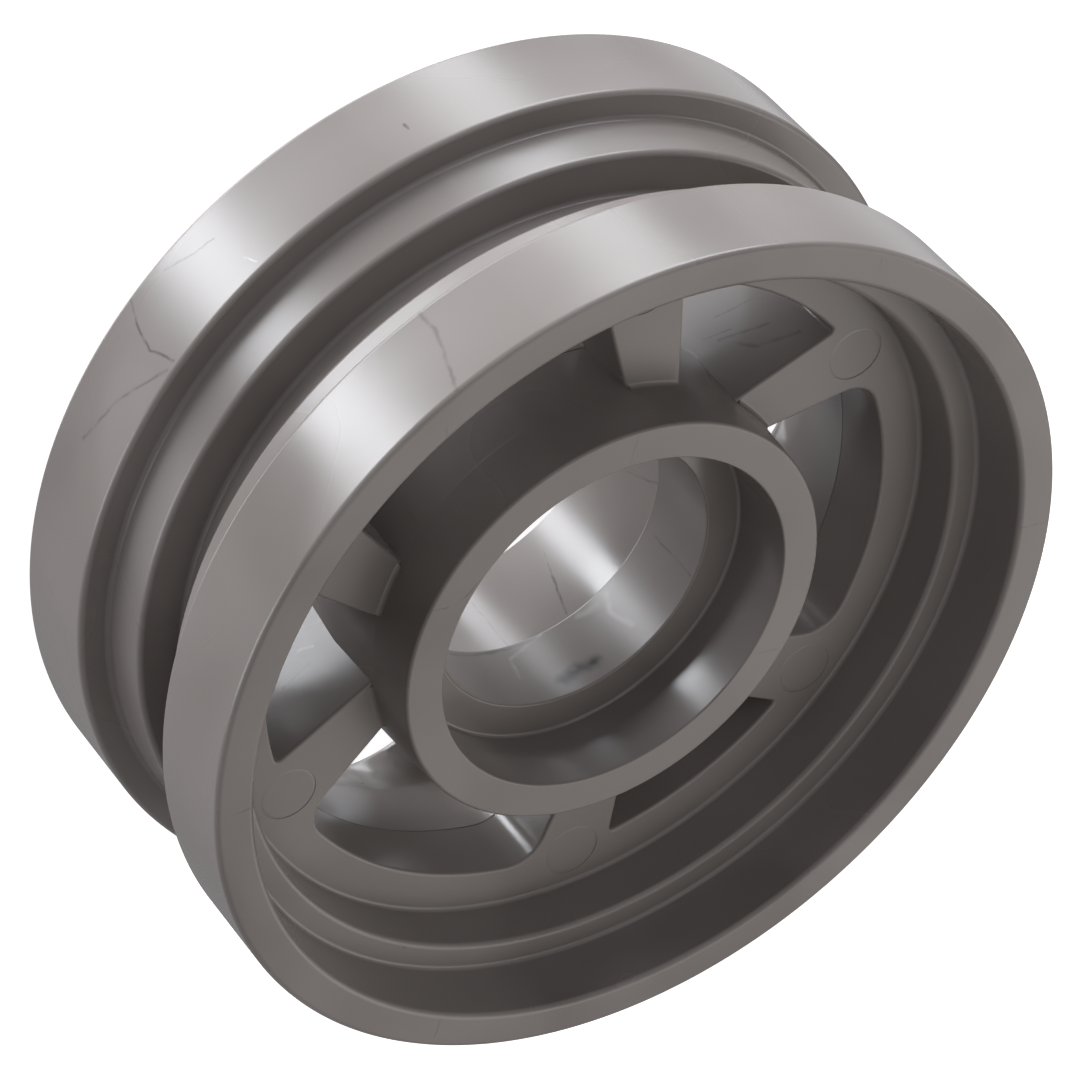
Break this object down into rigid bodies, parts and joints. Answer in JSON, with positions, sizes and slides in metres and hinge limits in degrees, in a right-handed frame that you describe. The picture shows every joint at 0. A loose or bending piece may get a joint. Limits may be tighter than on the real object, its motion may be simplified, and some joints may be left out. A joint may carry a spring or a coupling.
{
  "type": "pool cleaner wheel",
  "caption": "Moulded wheel with two flanges, a deep tyre groove, wedge spokes and a hub that seats a bearing at each end.",
  "frame": {"origin": "centre of the back rim face, on the wheel's axis", "axes": "+Z along the wheel's axis, out of the side where the hub is recessed; +Y through the middle of a wide window"},
  "size_m": [0.078, 0.078, 0.0321],
  "materials": {
    "grey_plastic": "satin"
  },
  "bodies": {
    "root": {"wheel": "grey_plastic"}
  },
  "joints": []
}
